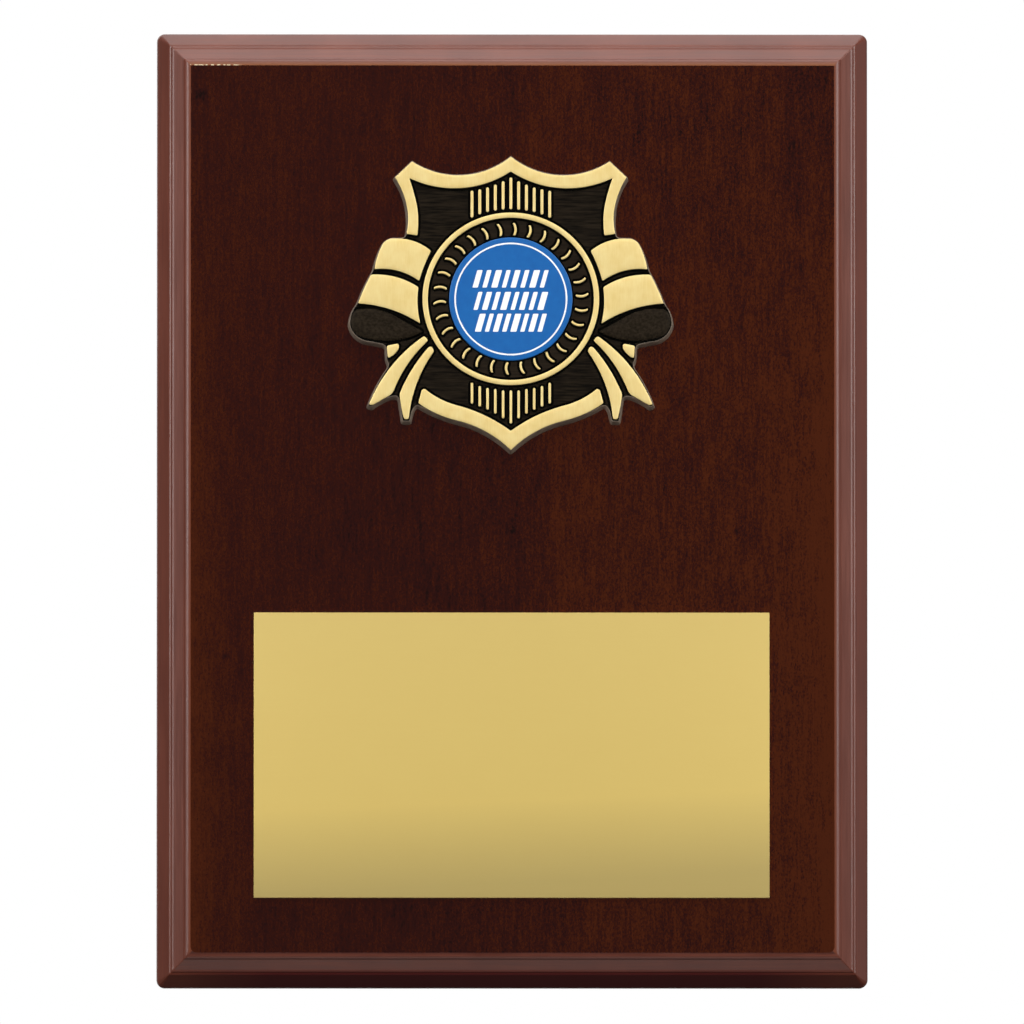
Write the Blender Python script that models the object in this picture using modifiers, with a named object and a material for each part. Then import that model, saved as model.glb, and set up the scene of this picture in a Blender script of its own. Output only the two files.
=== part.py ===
"""Banner plaque: an upright wooden award plaque with a cast shield-and-ribbon emblem and a blank name plate.

The board's flat back lies in the plane y = 0 and its face looks along -Y, with +Z up. The origin is the
centre of the back, which rests against the wall.
"""
import math

import bmesh
import bpy

MM = 0.001
GAP = 0.3 * MM
WELD = 0.01 * MM

# The board
BOARD_WIDTH = 150.0 * MM
BOARD_HEIGHT = 201.5 * MM
BOARD_DEPTH = 15.0 * MM
BOARD_CORNER = 1.7 * MM
INNER_CORNER = 0.25 * MM
FACE_INSET = 7.2 * MM
BEAD_STEPS = 3
CORNER_STEPS = 4

# The board's moulded edge from its back to the foot of the bead along the face: an upright wall, a steep
# slope, two narrow steps and a flatter band. Each corner is (in from the outer edge, above the back), in
# millimetres.
EDGE_CORNERS = (
    (0.3, 0),
    (0, 0.3),
    (0, 5.5),
    (0.25, 6.4),
    (2.6, 11.4),
    (3.05, 11.6),
    (3.25, 12.0),
    (3.6, 12.15),
    (5.8, 13.95),
    (5.95, 14.4),
)

# The keyhole slot that is routed into the back, for the head of a wall screw
KEYHOLE_HEIGHT = 72.0 * MM
KEYHOLE_HEAD_RADIUS = 4.75 * MM
KEYHOLE_NECK_RADIUS = 2.5 * MM
KEYHOLE_TRAVEL = 12.0 * MM
KEYHOLE_LIP = 3.2 * MM
KEYHOLE_DEPTH = 8.0 * MM
KEYHOLE_SIDES = 24

# The name plate
PLATE_WIDTH = 108.6 * MM
PLATE_HEIGHT = 60.1 * MM
PLATE_THICKNESS = 0.8 * MM
PLATE_EDGE = 0.15 * MM
PLATE_CENTRE = (-0.2 * MM, -52.0 * MM)

# The emblem's casting, above its own flat back
EMBLEM_CENTRE = (-0.4 * MM, 44.05 * MM)
GROUND = 2.9 * MM
RELIEF_TOP = 3.8 * MM
LEAF_TOP = 3.3 * MM
DRAFT = 0.3 * MM
DRAFT_DROP = 0.3 * MM
EDGE_ROUND = 0.12 * MM
LEAF_ROUND = 0.3 * MM
ROOT = 0.6 * MM
ARC_STEP = math.radians(9)

# The round insert and the ring about it
DISC_RADIUS = 13.0 * MM
DISC_SEAT = 1.7 * MM
DISC_TOP = 3.2 * MM
DISC_EDGE = 0.2 * MM
DISC_SIDES = 72
RING_INNER = 17.1
RING_OUTER = 18.2
RING_STRETCH = 1.022
RING_SIDES = 72

# The short curved marks between the insert and the ring, in millimetres and degrees
MARKS = 30
MARK_INNER = 13.5
MARK_OUTER = 15.9
MARK_WIDTH = 0.5
MARK_FIRST = 2.6
MARK_BOW = 0.32
MARK_LEAN = 0.2
MARK_STEPS = 3

# The upright rays above and below the ring, in millimetres: the ends of each from the middle ray outwards
RAY_SPACING = 1.637
UPPER_RAY_WIDTH = 0.61
LOWER_RAY_WIDTH = 0.54
UPPER_RAYS = ((18.9, 25.6), (18.8, 24.8), (18.6, 24.1), (18.3, 23.5), (17.8, 23.1), (17.1, 22.8))
LOWER_RAYS = ((-26.3, -19.3), (-25.2, -19.3), (-24.2, -19.0), (-23.4, -18.8), (-22.7, -18.4), (-22.1, -17.7))
RAY_END_STEPS = 3

# Outlines of the emblem's left half, in millimetres from the middle of the ring. Each edge is its start,
# and for a curved edge a point that it passes, and it ends where the next edge starts.
CASTING = (
    ((0, 30.25), (-10.6, 26.25)),
    ((-20.85, 29.2),),
    ((-24.65, 25.6), (-22.75, 22.0)),
    ((-21.9, 18.0), (-21.85, 15.6)),
    ((-22.3, 12.9),),
    ((-24.6, 12.9), (-26.45, 12.3)),
    ((-27.4, 11.05), (-28.3, 8.85)),
    ((-29.0, 6.25),),
    ((-29.65, 5.1), (-31.1, 2.25)),
    ((-32.4, -0.95), (-33.6, -2.95)),
    ((-34.05, -5.25), (-32.7, -7.8)),
    ((-29.8, -9.05), (-28.2, -9.4)),
    ((-26.4, -9.75),),
    ((-26.2, -12.75),),
    ((-25.7, -14.1), (-28.1, -17.85)),
    ((-30.15, -22.5),),
    ((-29.35, -22.85), (-27.3, -21.5)),
    ((-24.95, -20.5),),
    ((-23.6, -20.7), (-23.25, -23.2)),
    ((-22.85, -25.85),),
    ((-21.25, -25.85),),
    ((-20.6, -23.2),),
    ((-19.7, -22.3), (-15.5, -24.45)),
    ((-11.0, -25.95), (-6.0, -27.8)),
    ((0, -32.15),),
)
UPPER_BORDER = (
    ((0, 30.0), (-10.6, 26.05)),
    ((-20.8, 28.98),),
    ((-24.4, 25.6), (-22.6, 22.0)),
    ((-21.7, 18.2), (-21.67, 16.0)),
    ((-22.0, 13.7),),
    ((-19.7, 13.35), (-19.5, 16.5)),
    ((-19.8, 19.8), (-20.4, 22.3)),
    ((-21.4, 25.45), (-10.9, 23.32)),
    ((0, 26.85),),
)
LOWER_BORDER = (
    ((0, -27.85), (-6.3, -24.2)),
    ((-11.0, -22.55), (-14.6, -21.25)),
    ((-18.15, -18.95),),
    ((-18.75, -19.2),),
    ((-19.5, -22.0), (-15.5, -24.28)),
    ((-11.0, -25.75), (-6.0, -27.6)),
    ((0, -31.9),),
)
UPPER_FOLD = (
    ((-28.75, 6.2), (-28.1, 8.95)),
    ((-27.25, 11.05), (-26.35, 12.2)),
    ((-24.55, 12.7), (-20.55, 12.2)),
    ((-16.8, 10.1), (-18.25, 6.95)),
    ((-19.3, 3.75), (-23.65, 5.85)),
)
LOWER_FOLD = (
    ((-32.2, -1.0), (-30.9, 2.2)),
    ((-29.45, 5.1), (-24.45, 4.65)),
    ((-19.45, 2.45), (-19.65, -1.15)),
    ((-19.05, -5.25), (-25.15, -2.3)),
)
LEAF = (
    ((-32.55, -2.2), (-28.6, -2.15)),
    ((-23.2, -4.25), (-20.7, -5.65)),
    ((-18.5, -6.85), (-24.7, -8.75)),
    ((-31.8, -7.85), (-33.65, -5.05)),
)
WEDGE = (
    ((-26.15, -9.9),),
    ((-25.9, -12.55), (-24.45, -11.6)),
    ((-23.55, -10.35),),
    ((-23.65, -9.4),),
)
OUTER_TAIL = (
    ((-18.25, -7.8), (-24.55, -13.45)),
    ((-29.9, -22.3),),
    ((-29.15, -22.45),),
    ((-25.25, -20.2),),
    ((-24.75, -19.6), (-22.2, -14.5)),
    ((-17.35, -8.75),),
)
INNER_TAIL = (
    ((-17.25, -10.1), (-20.35, -14.15)),
    ((-23.45, -20.1), (-23.1, -22.6)),
    ((-22.5, -25.4),),
    ((-21.5, -25.4), (-19.9, -18.1)),
    ((-16.15, -11.05),),
    ((-16.6, -10.1),),
)
BORDER_ROUND = 0.25
HOLLOW_ROUND = 0.85
FOLD_ROUND = 0.35
TAIL_ROUND = 0.45
ROUND_STEPS = 3
TRIM_SHARE = 0.45


def clear_scene():
    for item in list(bpy.data.objects):
        bpy.data.objects.remove(item, do_unlink=True)


def new_collection(name):
    group = bpy.data.collections.new(name)
    bpy.context.scene.collection.children.link(group)
    return group


def new_material(name, colour, roughness, metallic):
    finish = bpy.data.materials.new(name)
    finish.use_nodes = True
    shader = finish.node_tree.nodes["Principled BSDF"]
    shader.inputs["Base Color"].default_value = (*colour, 1)
    shader.inputs["Roughness"].default_value = roughness
    shader.inputs["Metallic"].default_value = metallic
    return finish


def mesh_object(name, bm, group):
    """Turns a bmesh into an object of the collection."""
    bmesh.ops.recalc_face_normals(bm, faces=bm.faces)
    mesh = bpy.data.meshes.new(name)
    bm.to_mesh(mesh)
    bm.free()
    item = bpy.data.objects.new(name, mesh)
    group.objects.link(item)
    return item


def hide_cutter(item):
    item.hide_render = True
    item.display_type = "WIRE"


def cut(item, tool, operation):
    """Adds a Boolean modifier to item that takes tool away from it or joins the two."""
    boolean = item.modifiers.new(tool.name, "BOOLEAN")
    boolean.operation = operation
    boolean.solver = "EXACT"
    boolean.object = tool


def mirrored(point):
    return (-point[0], point[1])


def whole(half):
    """The full outline of a shape whose left half starts and ends on the emblem's upright axis."""
    right = []
    for i in range(len(half) - 1, 0, -1):
        right.append(tuple(mirrored(p) for p in (half[i][0], *half[i - 1][1:])))
    return (*half[:-1], *right)


def straight(start, end, trims):
    """The two ends of a straight edge, each moved in by its trim."""
    shares = [trim / math.dist(start, end) for trim in trims]
    return [tuple(a + (b - a) * t for a, b in zip(start, end)) for t in (shares[0], 1 - shares[1])]


def circle_through(a, b, c):
    """Centre and radius of the circle through three points."""
    cross = 2 * (a[0] * (b[1] - c[1]) + b[0] * (c[1] - a[1]) + c[0] * (a[1] - b[1]))
    squares = [p[0] ** 2 + p[1] ** 2 for p in (a, b, c)]
    x = (squares[0] * (b[1] - c[1]) + squares[1] * (c[1] - a[1]) + squares[2] * (a[1] - b[1])) / cross
    y = (squares[0] * (c[0] - b[0]) + squares[1] * (a[0] - c[0]) + squares[2] * (b[0] - a[0])) / cross
    return (x, y), math.dist(a, (x, y))


def curved(start, middle, end, trims):
    """Points along the arc from start through middle to end, short of each end by its trim."""
    centre, radius = circle_through(start, middle, end)
    first = math.atan2(start[1] - centre[1], start[0] - centre[0])
    last = math.atan2(end[1] - centre[1], end[0] - centre[0])
    turn = (last - first + math.pi) % math.tau - math.pi
    skips = [math.copysign(trim / radius, turn) for trim in trims]
    first += skips[0]
    turn -= sum(skips)
    steps = max(1, math.ceil(abs(turn) / ARC_STEP))
    angles = [first + turn * i / steps for i in range(steps + 1)]
    return [(centre[0] + radius * math.cos(a), centre[1] + radius * math.sin(a)) for a in angles]


def turning(a, b, c):
    """Above zero where the way from a through b to c turns left."""
    return (b[0] - a[0]) * (c[1] - b[1]) - (b[1] - a[1]) * (c[0] - b[0])


def signed_area(points):
    return sum(a[0] * b[1] - b[0] * a[1] for a, b in zip(points, points[1:] + points[:1])) / 2


def next_point(outline, i):
    """What follows the start of edge i: the point that it passes, or its end if it is straight."""
    return outline[i][1] if len(outline[i]) == 2 else outline[(i + 1) % len(outline)][0]


def trace(outline, rounding, inner_rounding=None):
    """Points round a closed outline, with each corner rounded from `rounding` before it to as far after.

    Corners that point into the shape may have a rounding of their own.
    """
    area = signed_area([edge[0] for edge in outline])
    rounds = []
    for i, edge in enumerate(outline):
        inward = turning(outline[i - 1][-1], edge[0], next_point(outline, i)) * area < 0
        rounds.append(inner_rounding if inward and inner_rounding else rounding)
    runs = []
    for i, edge in enumerate(outline):
        end = outline[(i + 1) % len(outline)][0]
        longest = TRIM_SHARE * math.dist(edge[0], end)
        trims = [min(size, longest) for size in (rounds[i], rounds[(i + 1) % len(outline)])]
        runs.append(curved(*edge, end, trims) if len(edge) == 2 else straight(edge[0], end, trims))
    points = []
    for i, run in enumerate(runs):
        points += run
        corner = outline[(i + 1) % len(outline)][0]
        leave = runs[(i + 1) % len(runs)][0]
        for k in range(1, ROUND_STEPS):
            t = k / ROUND_STEPS
            weights = ((1 - t) ** 2, 2 * t * (1 - t), t * t)
            points.append(tuple(sum(w * p[j] for w, p in zip(weights, (run[-1], corner, leave))) for j in (0, 1)))
    return points


def both_sides(outline, rounding):
    """Point lists of a shape of the left half and of its twin on the right."""
    left = trace(outline, rounding)
    return [left, [mirrored(p) for p in left]]


def circle(radius, sides, stretch=1.0):
    angles = [math.tau * i / sides for i in range(sides)]
    return [(radius * stretch * math.cos(a), radius * math.sin(a)) for a in angles]


def stadium(x, bottom, top, width):
    """An upright bar with round ends."""
    radius = width / 2
    points = []
    for centre, first in ((top - radius, 0), (bottom + radius, math.pi)):
        for i in range(RAY_END_STEPS + 1):
            angle = first + math.pi * i / RAY_END_STEPS
            points.append((x + radius * math.cos(angle), centre + radius * math.sin(angle)))
    return points


def mark(number):
    """One curved mark, bowed clockwise and leaning a little back at its outer end."""
    angle = math.radians(90 - MARK_FIRST - number * 360 / MARKS)
    out = (math.cos(angle), math.sin(angle))
    side = (out[1], -out[0])
    length = MARK_OUTER - MARK_INNER
    edges = []
    for half_width in (-MARK_WIDTH / 2, MARK_WIDTH / 2):
        edge = []
        for i in range(MARK_STEPS + 1):
            t = i / MARK_STEPS
            reach = MARK_INNER + length * t
            swing = 4 * MARK_BOW * t * (1 - t) - MARK_LEAN * (t - 0.5) + half_width
            edge.append(((reach * out[0] + swing * side[0]) * RING_STRETCH, reach * out[1] + swing * side[1]))
        edges.append(edge)
    tips = []
    for reach, lean in ((MARK_OUTER + MARK_WIDTH / 3, -MARK_LEAN / 2), (MARK_INNER - MARK_WIDTH / 3, MARK_LEAN / 2)):
        tips.append(((reach * out[0] + lean * side[0]) * RING_STRETCH, reach * out[1] + lean * side[1]))
    return edges[0] + [tips[0]] + edges[1][::-1] + [tips[1]]


def rays():
    """The upright rays above and below the ring, eleven in each group."""
    bars = []
    for ends, width in ((UPPER_RAYS, UPPER_RAY_WIDTH), (LOWER_RAYS, LOWER_RAY_WIDTH)):
        for i, (bottom, top) in enumerate(ends):
            for side in (-1, 1) if i else (1,):
                bars.append(stadium(side * i * RAY_SPACING, bottom, top, width))
    return bars


def slab(name, outlines, bottom, top, rounding, group):
    """Stands flat outlines up as one mesh between two heights above the emblem's back, front edges rounded.

    The outlines are closed point lists in millimetres. A nested outline is a hole.
    """
    curve = bpy.data.curves.new(name, "CURVE")
    curve.dimensions = "2D"
    curve.fill_mode = "BOTH"
    curve.bevel_depth = rounding
    curve.bevel_resolution = 0
    curve.extrude = (top - bottom) / 2 - rounding
    curve.offset = -rounding
    for points in outlines:
        spline = curve.splines.new("POLY")
        spline.points.add(len(points) - 1)
        spline.use_cyclic_u = True
        for target, (x, y) in zip(spline.points, points):
            target.co = (x * MM, y * MM, 0, 1)
    shape = bpy.data.objects.new(name, curve)
    shape.location = (EMBLEM_CENTRE[0], -(BOARD_DEPTH + GAP + (bottom + top) / 2), EMBLEM_CENTRE[1])
    shape.rotation_euler = (math.pi / 2, 0, 0)
    group.objects.link(shape)
    return curve_to_mesh(shape, group)


def curve_to_mesh(shape, group):
    """Replaces a curve object by a welded mesh of the same name and place."""
    bpy.context.view_layer.update()
    evaluated = shape.evaluated_get(bpy.context.evaluated_depsgraph_get())
    mesh = bpy.data.meshes.new_from_object(evaluated)
    name = shape.name
    place = shape.matrix_world.copy()
    bpy.data.objects.remove(shape)
    bm = bmesh.new()
    bm.from_mesh(mesh)
    bmesh.ops.remove_doubles(bm, verts=bm.verts, dist=WELD)
    bmesh.ops.recalc_face_normals(bm, faces=bm.faces)
    bm.to_mesh(mesh)
    bm.free()
    item = bpy.data.objects.new(name, mesh)
    item.matrix_world = place
    group.objects.link(item)
    return item


def loft(loops):
    """A closed body from matching rings of points, with a flat cap on the first and the last."""
    bm = bmesh.new()
    rings = [[bm.verts.new(point) for point in loop] for loop in loops]
    for near, far in zip(rings, rings[1:]):
        for i in range(len(near)):
            j = (i + 1) % len(near)
            bm.faces.new((near[i], near[j], far[j], far[i]))
    bm.faces.new(rings[0])
    bm.faces.new(rings[-1])
    return bm


def rounded_rectangle(width, height, radius):
    """Points round an upright rectangle with round corners."""
    points = []
    for quarter, (sx, sz) in enumerate(((1, 1), (-1, 1), (-1, -1), (1, -1))):
        for i in range(CORNER_STEPS + 1):
            angle = (quarter + i / CORNER_STEPS) * math.pi / 2
            x = sx * (width / 2 - radius) + radius * math.cos(angle)
            z = sz * (height / 2 - radius) + radius * math.sin(angle)
            points.append((x, z))
    return points


def moulding_profile():
    """The board's edge from the back to the face: (distance in from the outer edge, height above the back)."""
    profile = [(inset * MM, height * MM) for inset, height in EDGE_CORNERS]
    start, foot = profile[-1]
    run, rise = FACE_INSET - start, BOARD_DEPTH - foot
    steepest = 2 * math.atan2(rise, run)
    radius = run / math.sin(steepest)
    for i in range(1, BEAD_STEPS + 1):
        angle = steepest * (1 - i / BEAD_STEPS)
        profile.append((FACE_INSET - radius * math.sin(angle), BOARD_DEPTH - radius * (1 - math.cos(angle))))
    return profile


def keyhole_cutter(name, outline, near, far, group):
    """A pocket of the given outline, from one depth in the back to another."""
    loops = [[(x, -depth, z) for x, z in outline] for depth in (near, far)]
    tool = mesh_object(name, loft(loops), group)
    hide_cutter(tool)
    return tool


def keyhole_outline(radius, start, end):
    """An upright slot with round ends, centred on start and end."""
    points = []
    for centre, first in ((end, 0), (start, math.pi)):
        for i in range(KEYHOLE_SIDES // 2 + 1):
            angle = first + math.tau * i / KEYHOLE_SIDES
            points.append((radius * math.cos(angle), centre + radius * math.sin(angle)))
    return points


def make_board(group, cutters, finish):
    """One board with its edge routed in steps, and the keyhole slot in its back."""
    loops = []
    for inset, height in moulding_profile():
        radius = max(BOARD_CORNER - inset, INNER_CORNER)
        ring = rounded_rectangle(BOARD_WIDTH - 2 * inset, BOARD_HEIGHT - 2 * inset, radius)
        loops.append([(x, -height, z) for x, z in ring])
    board = mesh_object("plaque_board", loft(loops), group)
    board.data.materials.append(finish)
    top = KEYHOLE_HEIGHT + KEYHOLE_TRAVEL
    head = circle(KEYHOLE_HEAD_RADIUS, KEYHOLE_SIDES)
    head = [(x, KEYHOLE_HEIGHT + z) for x, z in head]
    neck = keyhole_outline(KEYHOLE_NECK_RADIUS, KEYHOLE_HEIGHT, top)
    track = keyhole_outline(KEYHOLE_HEAD_RADIUS, KEYHOLE_HEIGHT, top)
    outside = -MM
    cut(board, keyhole_cutter("keyhole_track", track, KEYHOLE_LIP, KEYHOLE_DEPTH, cutters), "DIFFERENCE")
    cut(board, keyhole_cutter("keyhole_head", head, outside, KEYHOLE_LIP + MM, cutters), "DIFFERENCE")
    cut(board, keyhole_cutter("keyhole_neck", neck, outside, KEYHOLE_LIP + MM, cutters), "DIFFERENCE")
    return board


def offset_outline(points, distance, drop):
    """A closed outline moved outwards by distance, and down by drop."""
    outward = math.copysign(distance, signed_area(points))
    moved = []
    for i, point in enumerate(points):
        before = points[i - 1]
        after = points[(i + 1) % len(points)]
        x, y = after[1] - before[1], before[0] - after[0]
        length = math.hypot(x, y)
        moved.append((point[0] + outward * x / length, point[1] + outward * y / length - drop))
    return moved


def casting_body(group, finish):
    """The emblem's flat ground with its outer walls, which spread towards the back."""
    front = trace(whole(CASTING), BORDER_ROUND, HOLLOW_ROUND)
    back = offset_outline(front, DRAFT / MM, DRAFT_DROP / MM)
    back_y = -(BOARD_DEPTH + GAP)
    loops = []
    for points, y in ((back, back_y), (front, back_y - GROUND)):
        loops.append([(EMBLEM_CENTRE[0] + x * MM, y, EMBLEM_CENTRE[1] + z * MM) for x, z in points])
    body = mesh_object("emblem_casting", loft(loops), group)
    body.data.materials.append(finish)
    return body


def make_emblem(group, cutters, finish):
    """The casting: ground, raised borders, ring, rays, marks and ribbon folds, and the insert's round seat."""
    emblem = casting_body(group, finish)
    raised = [trace(whole(UPPER_BORDER), BORDER_ROUND), trace(whole(LOWER_BORDER), BORDER_ROUND)]
    for outline in (UPPER_FOLD, LOWER_FOLD):
        raised += both_sides(outline, FOLD_ROUND)
    for outline in (WEDGE, OUTER_TAIL, INNER_TAIL):
        raised += both_sides(outline, TAIL_ROUND)
    raised += rays()
    raised += [mark(number) for number in range(MARKS)]
    raised += [circle(RING_OUTER, RING_SIDES, RING_STRETCH), circle(RING_INNER, RING_SIDES, RING_STRETCH)]
    relief = slab("raised_lines", raised, GROUND - ROOT, RELIEF_TOP, EDGE_ROUND, cutters)
    leaves = slab("dark_leaves", both_sides(LEAF, TAIL_ROUND), GROUND - ROOT, LEAF_TOP, LEAF_ROUND, cutters)
    seat = slab("insert_seat", [circle((DISC_RADIUS + GAP) / MM, DISC_SIDES)], DISC_SEAT, RELIEF_TOP, 0, cutters)
    for tool, operation in ((relief, "UNION"), (leaves, "UNION"), (seat, "DIFFERENCE")):
        hide_cutter(tool)
        cut(emblem, tool, operation)
    return emblem


def make_disc(group, finish):
    """The round printed insert, in its seat."""
    bottom = DISC_SEAT + GAP
    disc = slab("centre_disc", [circle(DISC_RADIUS / MM, DISC_SIDES)], bottom, DISC_TOP, DISC_EDGE, group)
    disc.data.materials.append(finish)
    return disc


def make_plate(group, finish):
    """The blank plate below the emblem."""
    y = -(BOARD_DEPTH + GAP + PLATE_THICKNESS / 2)
    bpy.ops.mesh.primitive_cube_add(size=1, location=(PLATE_CENTRE[0], y, PLATE_CENTRE[1]))
    plate = bpy.context.object
    plate.name = "engraving_plate"
    plate.data.transform(plate.matrix_world.Diagonal((PLATE_WIDTH, PLATE_THICKNESS, PLATE_HEIGHT, 1)))
    for owner in list(plate.users_collection):
        owner.objects.unlink(plate)
    group.objects.link(plate)
    edge = plate.modifiers.new("edge", "BEVEL")
    edge.width = PLATE_EDGE
    edge.segments = 1
    plate.data.materials.append(finish)
    return plate


def main():
    clear_scene()
    group = new_collection("banner_plaque")
    cutters = new_collection("cutters")
    wood = new_material("dark_wood", (0.045, 0.010, 0.008), 0.3, 0.0)
    casting = new_material("cast_gold", (0.80, 0.62, 0.24), 0.35, 1.0)
    print_blue = new_material("printed_blue", (0.020, 0.150, 0.470), 0.4, 0.0)
    plate_gold = new_material("plate_gold", (0.66, 0.50, 0.17), 0.35, 1.0)
    make_board(group, cutters, wood)
    make_emblem(group, cutters, casting)
    make_disc(group, print_blue)
    make_plate(group, plate_gold)


main()
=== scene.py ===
"""Looks of the banner plaque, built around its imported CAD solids.

The board's back lies in the plane y = 0 and its face looks along -Y, with +Z up. Lengths of the emblem are
in millimetres from the middle of its ring, and heights are above its flat back.
"""
import math

import bmesh
import bpy
import numpy as np
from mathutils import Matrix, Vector
from mathutils.geometry import delaunay_2d_cdt
from mathutils.kdtree import KDTree


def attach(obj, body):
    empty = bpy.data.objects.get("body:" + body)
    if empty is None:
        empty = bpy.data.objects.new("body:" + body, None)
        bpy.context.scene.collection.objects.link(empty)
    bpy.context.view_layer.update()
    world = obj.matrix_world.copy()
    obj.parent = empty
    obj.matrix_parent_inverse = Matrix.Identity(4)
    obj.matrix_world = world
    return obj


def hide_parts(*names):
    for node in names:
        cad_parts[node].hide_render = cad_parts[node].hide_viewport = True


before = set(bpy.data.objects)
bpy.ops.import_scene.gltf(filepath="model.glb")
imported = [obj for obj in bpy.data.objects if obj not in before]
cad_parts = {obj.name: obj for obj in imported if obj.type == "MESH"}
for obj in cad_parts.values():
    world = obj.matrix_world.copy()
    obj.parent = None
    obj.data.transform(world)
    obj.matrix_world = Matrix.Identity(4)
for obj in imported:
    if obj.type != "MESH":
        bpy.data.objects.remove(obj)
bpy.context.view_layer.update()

MM = 0.001
GAP = 0.3 * MM
SEAM = 0.05 * MM

# The photograph's view: a long lens, from a little below and a little left of straight on
IMAGE_PIXELS = 1024
PIXEL = 0.2113 * MM
CAMERA_DISTANCE = 5.0
CAMERA_BELOW = math.radians(2.6)
CAMERA_LEFT = math.radians(0.6)
CAMERA_TARGET = (0.04 * MM, 0, -0.02 * MM)
SENSOR_MM = 36.0
FLOOR_HEIGHT = -1.2
FLOOR_SIZE = 9.0

# The board and its moulded edge
BOARD_WIDTH = 150.0 * MM
BOARD_HEIGHT = 201.5 * MM
BOARD_DEPTH = 15.0 * MM
BOARD_CORNER = 1.7 * MM
INNER_CORNER = 0.25 * MM
LOWER_FACE_CORNER = 1.3 * MM
EDGE_PROFILE = (
    # in from the outer edge, above the back, how far round the corner is worn: all in millimetres
    (0.3, 0, 0),
    (0, 0.3, 0.1),
    (0, 5.9, 0.9),
    (2.6, 11.4, 0.3),
    (3.05, 11.6, 0.15),
    (3.25, 12.0, 0.15),
    (3.6, 12.15, 0.2),
    (5.8, 13.95, 0.2),
    (5.95, 14.4, 0),
)
SLOPE_END = 3.3 * MM
FACE_INSET = 7.2 * MM
FACE_DARKEST = -24 * MM
FACE_JOINT = 7.0 * MM
FACE_GLOW = 46 * MM
JOINT_SLANT = 0.06
FACE_KNOTS = (
    (-65.7 * MM, 87.35 * MM, 1.6 * MM),
    (47.1 * MM, -4.8 * MM, 1.0 * MM),
    (-60.4 * MM, -31.1 * MM, 1.0 * MM),
)
BEAD_STEPS = 10
CORNER_STEPS = 8
EASE_STEPS = 6

# The keyhole slot in the back
KEYHOLE_HEIGHT = 72.0 * MM
KEYHOLE_HEAD_RADIUS = 4.75 * MM
KEYHOLE_NECK_RADIUS = 2.5 * MM
KEYHOLE_TRAVEL = 12.0 * MM
KEYHOLE_LIP = 3.2 * MM
KEYHOLE_DEPTH = 8.0 * MM
KEYHOLE_SIDES = 64
KEYHOLE_OVERCUT = 1.0 * MM

# The name plate
PLATE_WIDTH = 108.6 * MM
PLATE_HEIGHT = 60.1 * MM
PLATE_THICKNESS = 0.8 * MM
PLATE_EDGE = 0.15 * MM
PLATE_EDGE_STEPS = 3
# The plate's painted shade: how far above its lower edge it fades out, and how much it slants across
PLATE_FADE = (3.2 * MM, 20.5 * MM)
PLATE_SLANT = 0.045
PLATE_CENTRE = (-0.2 * MM, -52.0 * MM)

# The emblem's casting
EMBLEM_CENTRE = (-0.4 * MM, 44.05 * MM)
GROUND = 2.9
RELIEF_TOP = 3.8
DRAFT = 0.3
DRAFT_DROP = 0.3
DRAFT_BLEND = 0.8
RIM_ROUND = 0.08
TOP_ROUND = 0.14
WALL_RUN = 0.06
GROOVE_FLOOR = 2.5
GROOVE_FLAT = 0.42
GROOVE_WIDTH = 0.54
GROOVE_FADE = (0.3, 0.8)
GROOVE_PAINT = 0.04
RIM_WIDTH = 0.17
RIM_PAINT = RIM_WIDTH + 0.01
RIM_BREAK = 0.09
LEAF_SHOULDER = (0.16, 0.7)
LEAF_SWELL = (0.14, 2.2)
LEAF_STEPS = (0, -0.2, -0.4, -0.7)
SEAT_RADIUS = 13.3
SEAT_FLOOR = 1.7
SEAT_RUN = 0.05

# Mesh sizes of the casting's front
LOOP_STEP = 0.4
FIELD_STEP = 0.45
FIELD_CLEARANCE = 0.24
LOOP_CLEARANCE = 0.03
WELD = 1e-6
OFFSET_SLACK = 0.015
RIM_CLEARANCE = 0.03
FIELD_REACH = 2.6
CHUNK = 2000
SHARP_ANGLE = math.radians(40)
ARC_STEP = math.radians(3)

# The ring, the curved marks inside it and the upright rays above and below it
RING_INNER = 17.1
RING_OUTER = 18.2
RING_STRETCH = 1.022
RING_SIDES = 280
MARKS = 30
MARK_INNER = 13.5
MARK_OUTER = 15.9
MARK_WIDTH = 0.5
MARK_FIRST = 2.6
MARK_BOW = 0.32
MARK_LEAN = 0.2
MARK_STEPS = 8
MARK_CAP_STEPS = 4
RAY_SPACING = 1.637
UPPER_RAY_WIDTH = 0.61
LOWER_RAY_WIDTH = 0.54
# The ends of the middle ray and of those beside it, going out
UPPER_RAYS = ((18.9, 25.6), (18.8, 24.8), (18.6, 24.1), (18.3, 23.5), (17.8, 23.1), (17.1, 22.8))
LOWER_RAYS = ((-26.3, -19.3), (-25.2, -19.3), (-24.2, -19.0), (-23.4, -18.8), (-22.7, -18.4), (-22.1, -17.7))
RAY_END_STEPS = 8

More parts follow.
